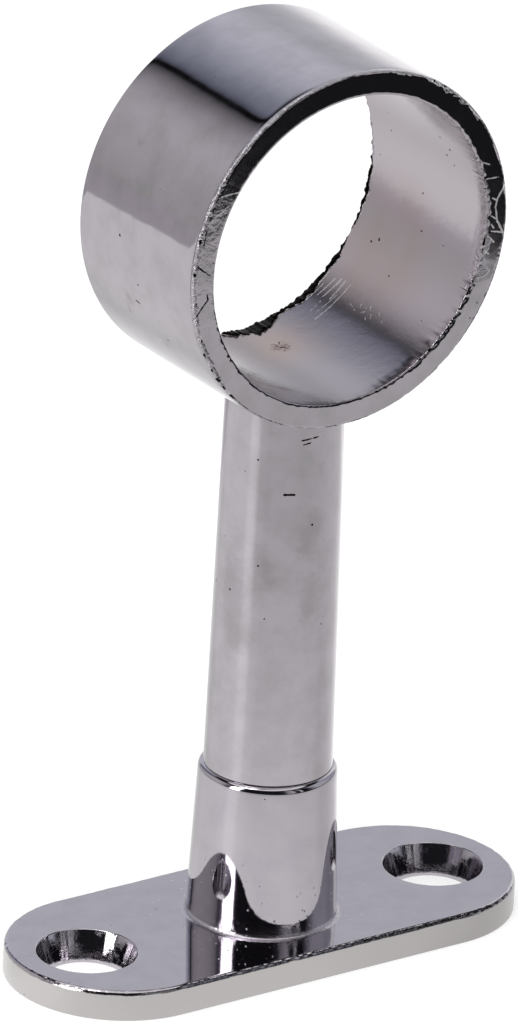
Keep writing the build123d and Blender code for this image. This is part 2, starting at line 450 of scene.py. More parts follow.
notch = listed(degrees_round, NOTCHED) * (0.02 + 0.09 * ramp(uneven(full_turn, 300, 8), -0.2, 0.8))
crumble = 0.02 + 0.05 * ramp(uneven(full_turn, 260, 12), 0.0, 1.0)
for corner_radius, side, depth, outwards in (
        (RING_RADIUS - FRONT_FALL[1], -1.0, nibble, -1.0),
        (BORE_RADIUS, -1.0, notch, 1.0),
        (BORE_RADIUS, 1.0, crumble, 1.0)):
    apart = np.hypot(section[:, 0] - corner_radius, section[:, 1] - side * RING_HALF)[:, None]
    fade = np.clip(1 - apart / WORN_REACH, 0.0, 1.0)
    radius = radius + outwards * WORN_SHARE * fade * depth
    along = along - side * WORN_SHARE * fade * depth
flash_reach = listed(degrees_round, FLASH) * (
    1 + 0.28 * uneven(full_turn, 200, 21) + 0.1 * uneven(full_turn, 420, 22))
flash_proud = 0.14 + 0.1 * uneven(full_turn, 200, 23) + 0.06 * uneven(full_turn, 500, 24)
in_bore = (np.abs(section[:, 0] - BORE_RADIUS) < BORE_SKIN) & (section[:, 1] > 0)
flash_start = RING_HALF - flash_reach
flash_rise = ramp(section[:, 1, None], flash_start, flash_start + 0.12) * in_bore[:, None]
radius = radius - np.clip(flash_proud, 0.03, 0.3) * flash_rise * ramp(flash_reach, 0.0, 0.1)
collar = on_ring(full_turn[None, :], along, radius)

# Outer band between the two edges, everywhere but round the post, where a saddle patch runs
# from the fillet's upper line out to the patch's four sides. The turn's two ends are one line.
half_patch = 2 * math.pi * SADDLE_COLUMNS / RING_COLUMNS
band_front = EDGE_ROUND + FRONT_FALL[0] - RING_HALF
band_back = RING_HALF - EDGE_ROUND - BACK_FALL[0]
band_rows = np.linspace(band_front, band_back, BAND_ROWS + 1)
far_side = full_turn[(np.abs(full_turn) > half_patch - 1e-6)]
past_patch = np.concatenate([far_side[far_side > 0], far_side[far_side < 0] + 2 * math.pi])
past_patch = np.unique(np.round(past_patch, 9))
band = on_ring(past_patch[None, :], band_rows[:, None], RING_RADIUS)
near_side = np.linspace(-half_patch, half_patch, 2 * SADDLE_COLUMNS + 1)
frame_line = np.concatenate([
    np.stack([np.full(BAND_ROWS, half_patch), band_rows[:-1]], -1),
    np.stack([near_side[::-1][:-1], np.full(2 * SADDLE_COLUMNS, band_back)], -1),
    np.stack([np.full(BAND_ROWS, -half_patch), band_rows[::-1][:-1]], -1),
    np.stack([near_side[:-1], np.full(2 * SADDLE_COLUMNS, band_front)], -1),
])
frame_line = np.concatenate([frame_line, frame_line[:1]])
around = np.unwrap(np.arctan2(frame_line[:, 1], RING_RADIUS * frame_line[:, 0]))


def post_radius(height):
    """The post's radius at a height: it tapers evenly upwards from its foot."""
    return POST_FOOT_RADIUS - POST_TAPER * (height - JOINT_Z)


# The fillet: on each radial plane a curve tangent to the post's wall below and to the ring above
neck = post_radius(RING_Z - RING_RADIUS)
reach = neck + POST_FILLET
out_x, out_y = reach * np.cos(around), reach * np.sin(around)
top_z = RING_Z - np.sqrt(RING_RADIUS ** 2 - out_x ** 2)
slope = out_x * np.cos(around) / np.sqrt(RING_RADIUS ** 2 - out_x ** 2)
crease_z = top_z - slope * POST_FILLET
t = np.linspace(0.0, 1.0, 9)[:, None]
wall_top = crease_z - POST_FILLET
radial = (1 - t) ** 2 * post_radius(wall_top) + 2 * t * (1 - t) * neck + t ** 2 * reach
rise = (1 - t) ** 2 * wall_top + 2 * t * (1 - t) * crease_z + t ** 2 * top_z
fillet = np.stack([radial * np.cos(around), radial * np.sin(around), rise], -1)
climb = np.linspace(0.0, 1.0, 60)[:, None]
wall_z = (JOINT_Z + FOOT_BREAK) * (1 - climb) + wall_top * climb
post_wall = np.stack([
    post_radius(wall_z) * np.cos(around), post_radius(wall_z) * np.sin(around), wall_z], -1)
inner_line = np.stack([np.arcsin(out_x / RING_RADIUS), out_y], -1)
spread = np.linspace(0.0, 1.0, 16)[:, None, None] ** 1.3
patch_line = (1 - spread) * inner_line + spread * frame_line
saddle = on_ring(patch_line[..., 0], patch_line[..., 1], RING_RADIUS)

hole_radius, hole_end = TAPPED_HOLE
register_radius, register_z = REGISTER[0], JOINT_Z - REGISTER[1]
foot_flat = POST_FOOT_RADIUS - FOOT_BREAK
foot = kinked([
    (0.0, hole_end), (hole_radius, hole_end), (hole_radius, register_z),
    (register_radius, register_z), (register_radius, JOINT_Z), (foot_flat, JOINT_Z),
    (post_radius(JOINT_Z + FOOT_BREAK), JOINT_Z + FOOT_BREAK)], [3, 12, 3, 3, 3, 2])
ring_post = casting("ring_and_post", [
    collar, band, saddle, fillet, post_wall, turned(foot, around)])


def mask(piece, name, values):
    """Stores one value for each point of a piece's mesh, for its material to read."""
    stored = piece.data.attributes.new(name=name, type="FLOAT", domain="POINT")
    stored.data.foreach_set("value", np.asarray(values, np.float32))


def points_of(piece):
    """The points of a piece's mesh in millimetres, one row each."""
    flat = np.empty(3 * len(piece.data.vertices))
    piece.data.vertices.foreach_get("co", flat)
    return flat.reshape(-1, 3) / MM


def patch_gap(degrees, along, patch):
    """How far a point is from a patch's middle, where 1 is the patch's half size either way."""
    middle, middle_along, half, half_along = patch
    return np.hypot((degrees - middle) / half, (along - middle_along) / half_along)


# Where the ring's surface is filed, bored, burred or black at the front edges, left as rough
# flash, duller along the bottom of the bore, and warm in tone
spot_x, spot_y, spot_z = points_of(ring_post).T
spot_radius = np.hypot(spot_x, spot_z - RING_Z)
spot_angle = np.arctan2(spot_x, RING_Z - spot_z)
spot_degrees = np.degrees(spot_angle)
on_collar = spot_radius < RING_RADIUS + 0.01
on_front = spot_y < 0.3 - RING_HALF
filed = ramp(np.abs(spot_y), RING_HALF - 0.18, RING_HALF - 0.06) * on_collar * listed(spot_degrees, FILING)
bored = ramp(spot_radius, BORE_RADIUS + 0.1, BORE_RADIUS + 0.02)
burr_width = 0.16 + 0.12 * uneven(spot_angle, 90, 31) + 0.05 * uneven(spot_angle, 420, 32)
burr_start = RING_RADIUS - 0.08 - burr_width * listed(spot_degrees, BURRED)
burr = ramp(spot_radius, burr_start, burr_start + 0.06) * on_front * on_collar
sparkle_width = listed(spot_degrees, SPARKLING) * (1 + 0.9 * uneven(spot_angle, 300, 36))
sparkle_end = BORE_RADIUS + sparkle_width
sparkle = ramp(spot_radius, sparkle_end, sparkle_end - 0.05) * on_front * (sparkle_width > 0.06)
inner_gap = np.hypot(spot_radius - BORE_RADIUS, spot_y + RING_HALF)
outer_gap = np.hypot(spot_radius - RING_RADIUS + FRONT_FALL[1], spot_y + RING_HALF)
notch_reach = (0.14 + 0.16 * uneven(spot_angle, 300, 33)).clip(0.02)
notched = listed(spot_degrees, NOTCHED) * np.clip(1 - inner_gap / notch_reach, 0.0, 1.0)
speck_reach = 0.24 + 0.14 * uneven(spot_angle, 200, 34)
speckled = listed(spot_degrees, SPECKLED) * np.clip(1.1 - outer_gap / speck_reach, 0.0, 1.0)
speckled = speckled * ramp(uneven(spot_angle, 170, 35), -0.35, 0.65)
reach_here = np.interp(spot_angle, full_turn, flash_reach)
flash_start = RING_HALF - reach_here
flash = ramp(spot_y, flash_start, flash_start + 0.06) * (reach_here > 0.03)
flash = flash * (spot_radius < BORE_RADIUS + BORE_SKIN)
warm_below = np.clip(1.35 - patch_gap(spot_degrees, spot_y, WARM_BELOW), 0.0, 1.0)
warm_beside = np.clip(0.9 - 0.6 * patch_gap(spot_degrees, spot_y, WARM_BESIDE), 0.0, 0.5)
ring_masks = {
    "filed": filed, "bored": bored, "burr": np.maximum(burr, sparkle),
    "notched": np.maximum(notched, speckled), "flash": flash,
    "low_bore": bored * listed(spot_degrees, DULL_BELOW),
    "warm_bore": bored * np.maximum(warm_below, warm_beside),
}
for name, values in ring_masks.items():
    mask(ring_post, name, values)


def plating(name, colour, dull_colour, roughness, wave_mm, wave_height_mm, pit_mm, pit_share):
    """Bright chrome over polished zinc: a mirror that is never quite true. Long soft waves from
    the polishing wheel bend the reflections, clouds dull it slightly, and small casting pits
    break the surface. Gives the material and the sockets that a section may build on."""
    material = bpy.data.materials.new(name)
    material.use_nodes = True
    tree = material.node_tree
    tree.nodes.clear()
    place = node(tree, "ShaderNodeTexCoord").outputs["Object"]
    waves = node(tree, "ShaderNodeTexNoise", {
        "Scale": 1 / (wave_mm * MM), "Detail": 2.0, "Roughness": 0.35}, {"Vector": place})
    wave_bump = node(tree, "ShaderNodeBump", {
        "Strength": 1.0, "Distance": wave_height_mm * MM}, {"Height": waves.outputs[0]})
    pits = node(tree, "ShaderNodeTexVoronoi", {
        "feature": "F1", "Scale": 1 / (pit_mm * MM), "Randomness": 1.0}, {"Vector": place})
    pitted = node(tree, "ShaderNodeMapRange", {
        "interpolation_type": "SMOOTHSTEP", "From Min": pit_share * 0.5, "From Max": pit_share,
        "To Min": 1.0, "To Max": 0.0}, {"Value": pits.outputs["Distance"]})
    cloud = node(tree, "ShaderNodeTexNoise", {
        "Scale": 1 / (2.4 * MM), "Detail": 4.0, "Roughness": 0.6}, {"Vector": place})
    rough = node(tree, "ShaderNodeMapRange", {
        "From Min": 0.3, "From Max": 0.7, "To Min": roughness * 0.7, "To Max": roughness * 1.3}, {
        "Value": cloud.outputs[0]})
    dulled = node(tree, "ShaderNodeMapRange", {
        "From Min": 0.4, "From Max": 0.75}, {"Value": cloud.outputs[0]})
    shade = node(tree, "ShaderNodeMix", {
        "data_type": "RGBA", 6: linear(colour), 7: linear(dull_colour)}, {0: dulled.outputs[0]})
    metal = node(tree, "ShaderNodeBsdfPrincipled", {"Metallic": 1.0}, {
        "Base Color": shade.outputs[2], "Roughness": rough.outputs[0], "Normal": wave_bump.outputs[0]})
    node(tree, "ShaderNodeOutputMaterial", {}, {"Surface": metal.outputs[0]})
    return material, place, metal, shade.outputs[2], rough.outputs[0], wave_bump.outputs[0], pitted.outputs[0]


def finished(tree, metal, shade, rough, bent, tints, levels, reliefs):
    """Builds a plating's own marks onto it, each by an amount from 0 to 1: tints change its
    colour, levels its roughness, and reliefs raise a pattern to a height in millimetres."""
    for amount, colour in tints:
        shade = node(tree, "ShaderNodeMix", {
            "data_type": "RGBA", 7: linear(colour)}, {0: amount, 6: shade}).outputs[2]
    for amount, level in levels:
        rough = node(tree, "ShaderNodeMix", {
            "data_type": "FLOAT", 3: level}, {0: amount, 2: rough}).outputs[0]
    for amount, pattern, height_mm in reliefs:
        height = node(tree, "ShaderNodeMath", {"operation": "MULTIPLY"}, {0: amount, 1: pattern}).outputs[0]
        bent = node(tree, "ShaderNodeBump", {
            "Strength": 1.0, "Distance": height_mm * MM}, {"Height": height, "Normal": bent}).outputs[0]
    for socket, value in (("Base Color", shade), ("Roughness", rough), ("Normal", bent)):
        tree.links.new(value, metal.inputs[socket])


def stroke_gap(tree, place_mm, strokes):
    """How far a point lies outside the nearest stroke, in millimetres: for each stroke the
    distance to the line from its start to its end, less its half width."""
    nearest = None
    for start, end, half_width in strokes:
        start, end = np.asarray(start, float), np.asarray(end, float)
        run = end - start
        gap = node(tree, "ShaderNodeVectorMath", {
            "operation": "SUBTRACT", 1: tuple(start)}, {0: place_mm}).outputs[0]
        if run @ run > 0:
            share = node(tree, "ShaderNodeVectorMath", {
                "operation": "DOT_PRODUCT", 1: tuple(run / (run @ run))}, {0: gap}).outputs["Value"]
            held = node(tree, "ShaderNodeClamp", {}, {"Value": share}).outputs[0]
            nearest_point = node(tree, "ShaderNodeVectorMath", {
                "operation": "SCALE", 0: tuple(run)}, {"Scale": held}).outputs[0]
            gap = node(tree, "ShaderNodeVectorMath", {
                "operation": "SUBTRACT"}, {0: gap, 1: nearest_point}).outputs[0]
        length = node(tree, "ShaderNodeVectorMath", {"operation": "LENGTH"}, {0: gap}).outputs["Value"]
        outside = node(tree, "ShaderNodeMath", {
            "operation": "SUBTRACT", 1: half_width}, {0: length}).outputs[0]
        nearest = outside if nearest is None else node(
            tree, "ShaderNodeMath", {"operation": "MINIMUM"}, {0: nearest, 1: outside}).outputs[0]
    return nearest


# Marks on the ring, each from one place to another with a half width, or one place for a pit,
# in millimetres. A place on the ring is its degrees from straight down, its place along the tube
# and its radius.
FACE, BORE, WALL = -RING_HALF, BORE_RADIUS, RING_RADIUS
RING_SCRATCHES = [
    ((-119.3, FACE, 14.17), (-123.7, FACE, 12.53), 0.05), ((-110, FACE, 14.3), (-118, FACE, 13.0), 0.03),
    ((100.6, FACE, 14.6), (97.0, FACE, 13.8), 0.08), ((97.0, FACE, 13.8), (94.0, FACE, 13.55), 0.07),
    ((94.0, FACE, 13.55), (89.0, FACE, 13.75), 0.05), ((89.0, FACE, 13.75), (84.5, FACE, 14.42), 0.08),
    ((97.5, FACE, 13.3), (96.0, FACE, 13.75), 0.06), ((91.0, FACE, 13.2), (89.5, FACE, 13.7), 0.05),
    ((85.5, FACE, 13.3), (84.7, FACE, 14.3), 0.05), ((88.0, FACE, 13.2), (86.5, FACE, 13.5), 0.04),
    ((123.1, FACE, 14.47), (120.8, FACE, 14.7), 0.05), ((112, FACE, 13.1), (110, FACE, 13.6), 0.04),
    ((105.5, FACE, 13.0), (104, FACE, 14.1), 0.04), ((84, FACE, 13.0), (81.5, FACE, 13.7), 0.05),
    ((78.5, FACE, 13.0), (77.5, FACE, 13.4), 0.05), ((132, FACE, 14.4), (127, FACE, 14.3), 0.03),
    ((27, 7.2, BORE), (44, 7.3, BORE), 0.06), ((34.5, 6.4, BORE), (42.5, 6.2, BORE), 0.05),
    ((35.0, 5.8, BORE), (44, 5.55, BORE), 0.06), ((35.7, 5.0, BORE), (44, 5.05, BORE), 0.05),
    ((26.1, 4.3, BORE), (44, 4.3, BORE), 0.04), ((29, 4.9, BORE), (38, 4.75, BORE), 0.025),
    ((30, 6.9, BORE), (40, 6.85, BORE), 0.03), ((28, 5.5, BORE), (33, 5.6, BORE), 0.02),
    ((38.0, 2.9, BORE), (37.4, 2.4, BORE), 0.02), ((40.2, 1.9, BORE), (38.6, 1.6, BORE), 0.03),
    ((37.0, 1.2, BORE), (38.2, 0.9, BORE), 0.03), ((41.0, 0.8, BORE), (39.5, 0.5, BORE), 0.02),
    ((38.4, 0.1, BORE), (37.2, -0.1, BORE), 0.03), ((40.6, -0.4, BORE), (39.6, -0.7, BORE), 0.03),
    ((36.4, 0.4, BORE), (35.8, 0.2, BORE), 0.025), ((38.8, -1.3, BORE), (37.8, -1.5, BORE), 0.02),
    ((39.8, 1.2, BORE), (39.6, 1.1, BORE), 0.03), ((36.9, 2.0, BORE), (36.6, 1.9, BORE), 0.03),
    ((151.5, FACE, 14.5), (148.0, FACE, 14.4), 0.06), ((146.5, FACE, 14.42), (144.5, FACE, 14.2), 0.05),
    ((144.5, FACE, 14.2), (142.0, FACE, 14.45), 0.06), ((141.0, FACE, 14.3), (139.0, FACE, 14.5), 0.05),
    ((138.0, FACE, 14.3), (136.5, FACE, 14.25), 0.06), ((136.5, FACE, 14.25), (134.5, FACE, 14.5), 0.06),
]
RING_GOUGES = [
    ((-96.5, FACE, 14.59), (-94.0, FACE, 13.7), 0.05), ((-94.0, FACE, 13.7), (-92.4, FACE, 13.16), 0.04),
    ((-85.7, FACE, 13.38), (-83.8, FACE, 13.31), 0.05), ((-83.8, FACE, 13.31), (-79.2, FACE, 14.53), 0.05),
    ((-107.5, FACE, 14.27), (-103.0, FACE, 14.2), 0.05), ((-72.3, 0.71, WALL), (-71.8, 0.2, WALL), 0.05),
    ((7.1, 3.2, BORE), (8.4, 3.05, BORE), 0.07), ((6.9, 3.45, BORE), (5.2, 3.75, BORE), 0.015),
    ((8.1, 3.4, BORE), (10.4, 3.3, BORE), 0.012), ((7.5, 3.6, BORE), (6.6, 4.1, BORE), 0.02),
    ((8.0, 2.9, BORE), (9.0, 2.55, BORE), 0.02), ((8.4, 3.7, BORE), (9.3, 4.15, BORE), 0.012),
    ((6.2, 3.05, BORE), (5.7, 2.95, BORE), 0.03), ((9.8, 2.95, BORE), (10.0, 2.9, BORE), 0.025),
    ((5.4, 3.35, BORE), (5.3, 3.3, BORE), 0.02), ((7.2, 2.6, BORE), (7.0, 2.45, BORE), 0.02),
    ((8.9, 3.9, BORE), (9.0, 3.95, BORE), 0.03), ((6.0, 4.0, BORE), (6.1, 4.05, BORE), 0.02),
    ((63.0, 4.3, BORE), (62.5, 4.2, BORE), 0.06), ((73.4, -0.2, BORE), (73.2, -0.1, BORE), 0.06),
]
RING_PITS = [
    ((-78.7, FACE, 14.64), 0.14), ((-71.5, FACE, 14.6), 0.12), ((60.7, FACE, 14.04), 0.05),
    ((55.5, FACE, 14.14), 0.05), ((84.9, FACE, 13.18), 0.12), ((115, -2.8, BORE), 0.08),
    ((111, -3.7, BORE), 0.06), ((104.7, -3.8, BORE), 0.06), ((53.5, 1.2, BORE), 0.06),
    ((103.5, 4.8, BORE), 0.05), ((86.2, 0.65, BORE), 0.06), ((60.7, 5.0, BORE), 0.08),
    ((72.7, -3.1, BORE), 0.06), ((107.5, -3.0, BORE), 0.07), ((-92, 2.26, WALL), 0.09),
    ((-78.9, -0.07, WALL), 0.06), ((-62.2, -2.4, WALL), 0.08), ((-111.6, -1.4, WALL), 0.05),
    ((-65.8, 2.3, WALL), 0.05),
]
BORE_STAINS = [
    ((6.6, 3.4, BORE), (8.8, 3.2, BORE), 0.2), ((-28, -2.7, BORE), (-22, -3.5, BORE), 0.1),
    ((-22, -3.5, BORE), (-12, -4.3, BORE), 0.05),
]
WALL_STAINS = [
    ((-71.4, 1.7, WALL), (-65.5, 2.5, WALL), 0.1), ((-60.2, -1.8, WALL), (-58.5, -1.6, WALL), 0.05),
    ((-121.5, 3.4, WALL), (-120.0, 3.1, WALL), 0.05), ((-45.7, 1.7, WALL), (-44.0, 1.9, WALL), 0.05),
]
# Marks on the post, in plain millimetres
POST_GOUGES = [
    ((-2.55, -4.05, 40.05), (-1.86, -4.41, 40.05), 0.07),
    ((-1.42, -4.51, 44.56), (-0.07, -4.73, 44.72), 0.05),
    ((-1.3, -4.56, 44.2), (-0.7, -4.66, 44.3), 0.03),
]
POST_PITS = [
    ((-4.06, -2.47, 42.73), 0.07), ((-4.54, -1.47, 41.51), 0.05), ((-4.62, 1.64, 31.05), 0.07),
    ((-4.86, -0.64, 31.23), 0.09), ((-0.3, -4.81, 37.33), 0.07), ((-3.49, -3.47, 29.49), 0.06),
    ((1.01, -4.83, 28.62), 0.07), ((-3.9, -2.91, 33.87), 0.06),
]
POST_STAINS = [
    ((-0.1, -4.82, 37.6), (-0.6, -4.81, 35.4), 0.35), ((-0.07, -4.88, 32.4), (-0.34, -4.9, 30.0), 0.3),
    ((-3.71, -3.12, 34.9), (-3.45, -3.45, 32.6), 0.2), ((-4.85, -0.55, 32.4), (-4.70, -1.52, 27.6), 0.9),
]
MIDDLE_RADIUS = (BORE_RADIUS + RING_RADIUS) / 2


def dotted(pits):
    """Pits as strokes that start and end at one place."""
    return [(place, place, half_width) for place, half_width in pits]


def unrolled(marks):
    """The marks with their degrees turned into millimetres round the middle of the wall."""
    arc = math.radians(1.0) * MIDDLE_RADIUS
    return [((a[0] * arc, a[1], a[2]), (b[0] * arc, b[1], b[2]), half_width) for a, b, half_width in marks]


# The plating over it all, and each point's place in millimetres: unrolled round the ring, or plain
ring_chrome, place, metal, shade, rough, bent, pitted = plating(
    "ring_chrome", colour="#b7b2b8", dull_colour="#aaa6aa", roughness=0.07,
    wave_mm=4.0, wave_height_mm=0.025, pit_mm=2.6, pit_share=0.03)
tree = ring_chrome.node_tree
states = {name: node(tree, "ShaderNodeAttribute", {"attribute_name": name}).outputs["Fac"]
          for name in ring_masks}
centred = node(tree, "ShaderNodeVectorMath", {
    "operation": "SUBTRACT", 1: (0.0, 0.0, RING_Z * MM)}, {0: place}).outputs[0]
axes = node(tree, "ShaderNodeSeparateXYZ", {}, {0: centred}).outputs
down = node(tree, "ShaderNodeMath", {"operation": "MULTIPLY", 1: -1.0}, {0: axes["Z"]}).outputs[0]
round_angle = node(tree, "ShaderNodeMath", {"operation": "ARCTAN2"}, {0: axes["X"], 1: down}).outputs[0]
arc_mm = node(tree, "ShaderNodeMath", {
    "operation": "MULTIPLY", 1: MIDDLE_RADIUS}, {0: round_angle}).outputs[0]
along_mm = node(tree, "ShaderNodeMath", {"operation": "DIVIDE", 1: MM}, {0: axes["Y"]}).outputs[0]
flat_vector = node(tree, "ShaderNodeCombineXYZ", {}, {"X": axes["X"], "Z": axes["Z"]}).outputs[0]
out_length = node(tree, "ShaderNodeVectorMath", {"operation": "LENGTH"}, {0: flat_vector}).outputs["Value"]
out_mm = node(tree, "ShaderNodeMath", {"operation": "DIVIDE", 1: MM}, {0: out_length}).outputs[0]
ring_mm = node(tree, "ShaderNodeCombineXYZ", {}, {"X": arc_mm, "Y": along_mm, "Z": out_mm}).outputs[0]
place_mm = node(tree, "ShaderNodeVectorMath", {"operation": "SCALE", "Scale": 1 / MM}, {0: place}).outputs[0]

# Noise by the size of its lumps in mm, its detail and its roughness: lines that tremble by
# 0.08 mm, the bore's and faces' grain, small crumbs, and clouds of warm tone
tremble, grain, crumbs, clouds = [node(tree, "ShaderNodeTexNoise", {
    "Scale": 1 / (lump_mm * MM), "Detail": detail, "Roughness": roughness}, {"Vector": place}).outputs[0]
    for lump_mm, detail, roughness in (
        (0.3, 2.0, 0.5), (0.75, 4.0, 0.6), (0.28, 3.0, 0.6), (3.5, 2.0, 0.5))]
shaken = node(tree, "ShaderNodeMath", {
    "operation": "MULTIPLY_ADD", 1: 0.16, 2: -0.08}, {0: tremble}).outputs[0]

# Scratches are bright, and gouges and pits black. The black also fills the notches crumb by
# crumb, the flash and the plating's own pits.
worn = []
for place_here, strokes in (
        (ring_mm, unrolled(RING_SCRATCHES)), (ring_mm, unrolled(RING_GOUGES + dotted(RING_PITS))),
        (place_mm, POST_GOUGES + dotted(POST_PITS))):
    gap = stroke_gap(tree, place_here, strokes)
    gap = node(tree, "ShaderNodeMath", {"operation": "ADD"}, {0: gap, 1: shaken}).outputs[0]
    worn.append(node(tree, "ShaderNodeMapRange", {
        "interpolation_type": "SMOOTHSTEP", "From Min": 0.03, "From Max": -0.01}, {"Value": gap}).outputs[0])
scratched, gouged, post_gouged = worn
bitten = node(tree, "ShaderNodeMath", {"operation": "MULTIPLY_ADD", 1: 1.3, 2: -0.65}, {0: crumbs}).outputs[0]
bitten = node(tree, "ShaderNodeMath", {"operation": "ADD"}, {0: bitten, 1: states["notched"]}).outputs[0]
bitten = node(tree, "ShaderNodeMapRange", {
    "interpolation_type": "SMOOTHSTEP", "From Min": 0.42, "From Max": 0.52}, {"Value": bitten}).outputs[0]
black = node(tree, "ShaderNodeMapRange", {
    "From Min": 0.1, "From Max": 0.4}, {"Value": states["flash"]}).outputs[0]
for part in (gouged, post_gouged, bitten, pitted):
    black = node(tree, "ShaderNodeMath", {"operation": "MAXIMUM"}, {0: black, 1: part}).outputs[0]

# Stains with cloudy edges, from their spread in mm and their strength: a rusty bloom round the pit
# in the bore and beside it, dull patches on the post, and brownish smudges on the ring's wall.
# The bore's warm tone comes and goes over a few millimetres.
stained = []
for place_here, strokes, spread, amount in (
        (ring_mm, unrolled(BORE_STAINS), 0.7, 0.6), (place_mm, POST_STAINS, 1.3, 0.35),
        (ring_mm, unrolled(WALL_STAINS), 0.7, 0.4)):
    gap = stroke_gap(tree, place_here, strokes)
    gap = node(tree, "ShaderNodeMath", {"operation": "MULTIPLY_ADD", 1: 2.4}, {0: grain, 2: gap}).outputs[0]
    stained.append(node(tree, "ShaderNodeMapRange", {
        "interpolation_type": "SMOOTHSTEP", "From Min": 1.1 + spread, "From Max": 0.8,
        "To Max": amount}, {"Value": gap}).outputs[0])
rusty, dull_patches, smudged = stained
blush = node(tree, "ShaderNodeMapRange", {
    "From Min": 0.35, "From Max": 0.65, "To Min": 0.5}, {"Value": clouds}).outputs[0]
blush = node(tree, "ShaderNodeMath", {"operation": "MULTIPLY"}, {0: blush, 1: states["warm_bore"]}).outputs[0]
bored_grain = node(tree, "ShaderNodeMath", {
    "operation": "MULTIPLY_ADD", 1: 0.22}, {0: states["bored"], 2: states["filed"]}).outputs[0]
finished(
    tree, metal, shade, rough, bent,
    tints=(
        (dull_patches, "#8d898a"), (smudged, "#8d807f"), (states["bored"], "#bab3b8"),
        (states["low_bore"], "#a6a0a4"), (blush, "#b3a39d"), (rusty, "#80625a"),
        (scratched, "#f2f0f0"), (black, "#141110")),
    levels=(
        (states["bored"], 0.2), (states["filed"], 0.13), (states["burr"], 0.12), (scratched, 0.4),
        (black, 0.45)),
    reliefs=(
        (bored_grain, grain, 0.045), (states["bored"], crumbs, 0.004), (states["burr"], crumbs, 0.2),
        (black, crumbs, 0.03)))
ring_post.data.materials.append(ring_chrome)
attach(ring_post, "root")
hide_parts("ring_post")

# Base, one zinc casting with the same plating: a flat oval plate with a softened upper edge, a
# tapered boss with a rounded rim, and a countersunk hole at each end. The underside has the
# recess for the assembly screw's head, and the boss's top the recess for the post's register.
PLATE_END = 13.5
PLATE_RADIUS = 9.0
PLATE_TOP = 2.5
TOP_ROUND = 0.4
BOTTOM_ROUND = 0.1
BOSS_FOOT = 5.95
BOSS_TOP = 5.475
BOSS_ROOT = 0.3
BOSS_RIM = 0.6
HOLE_X = 16.5
SINK_RADIUS = 4.0
SINK_EDGE = 0.12
HOLE_RADIUS = 3.15
HOLE_LAND = 0.2
# Radius and height of the screw head's recess and of the register's
HEAD_RECESS = (4.0, 4.0)
SCREW_WAY = 2.25
REGISTER_RECESS = (3.6, 13.4)
# The lines, left and right of the middle, between the three cells that the flats are made of
CELL_X = 8.4
SIDE_POINTS = 110
END_POINTS = 290
# The painted shade along the front of the plate's rounded upper edge, standing in for the dark
# line that it reflects: from where along x it deepens, how dark it gets at most, and where it fades
EDGE_SHADE_FROM, EDGE_SHADE_MOST, EDGE_SHADE_TO = (-2.0, 6.0), 0.72, (21.0, 18.0)
# The corner round the boss that the wheel doesn't reach: how it fades outwards and upwards
CORNER_OUT, CORNER_UP = (11.5, 7.5), (9.5, 4.5)


def outline_part(which, count):
    """One part of the flat's border as points and outward normals: the two straight sides of the
    middle cell, or the whole end past a cell line."""
    if which in ("far", "near"):
        side = 1.0 if which == "far" else -1.0
        x = np.linspace(CELL_X, -CELL_X, count) * side
        return np.stack([x, np.full(count, side * PLATE_RADIUS)], -1), np.tile([0.0, side], (count, 1))
    side = 1.0 if which == "right" else -1.0
    run, arc = PLATE_END - CELL_X, math.pi * PLATE_RADIUS
    way = np.linspace(0.0, 2 * run + arc, count)
    angle = np.clip((way - run) / PLATE_RADIUS, 0.0, math.pi) - math.pi / 2
    back_way = np.where(way > run + arc, CELL_X + 2 * run + arc - way, PLATE_END)
    ahead = np.where(way < run, CELL_X + way, back_way)
    normal = np.stack([np.cos(angle), np.sin(angle)], -1)
    point = np.stack([ahead, np.zeros(count)], -1) + PLATE_RADIUS * normal
    return point * side, normal * side


def flat_cells(inset, hole_radii, height):
    """The plate's flat as three cells, each a fan of rows from its round hole out to its border,
    closest together at both ends. Gives the grids and each hole's angles."""
    grids, turns = [], []
    for which, hole in zip(("left", "middle", "right"), hole_radii):
        line_y = np.linspace(-1.0, 1.0, SIDE_POINTS + 1)
        if which == "middle":
            far, far_normal = outline_part("far", 2 * SIDE_POINTS + 1)
            near, near_normal = outline_part("near", 2 * SIDE_POINTS + 1)
            far, near = far - inset * far_normal, near - inset * near_normal
            half = far[0, 1]
            border = np.concatenate([
                np.stack([np.full(SIDE_POINTS, CELL_X), line_y[:-1] * half], -1), far[:-1],
                np.stack([np.full(SIDE_POINTS, -CELL_X), line_y[::-1][:-1] * half], -1), near[:-1]])
            centre = np.array([0.0, 0.0])
        else:
            end, normal = outline_part(which, END_POINTS + 1)
            end = end - inset * normal
            side = 1.0 if which == "right" else -1.0
            half = abs(end[0, 1])
            cell_line = np.stack([np.full(SIDE_POINTS, side * CELL_X), side * line_y[::-1][:-1] * half], -1)
            border = np.concatenate([end[:-1], cell_line])
            centre = np.array([side * HOLE_X, 0.0])
        border = np.concatenate([border, border[:1]])
        angles = np.unwrap(np.arctan2(border[:, 1] - centre[1], border[:, 0] - centre[0]))
        ring = centre + hole * np.stack([np.cos(angles), np.sin(angles)], -1)
        out = (0.5 - 0.5 * np.cos(np.linspace(0.0, math.pi, 15)))[:, None, None]
        flat = (1 - out) * ring + out * border
        grids.append(np.concatenate([flat, np.full(flat.shape[:2] + (1,), height)], -1))
        turns.append(angles)
    return grids, turns


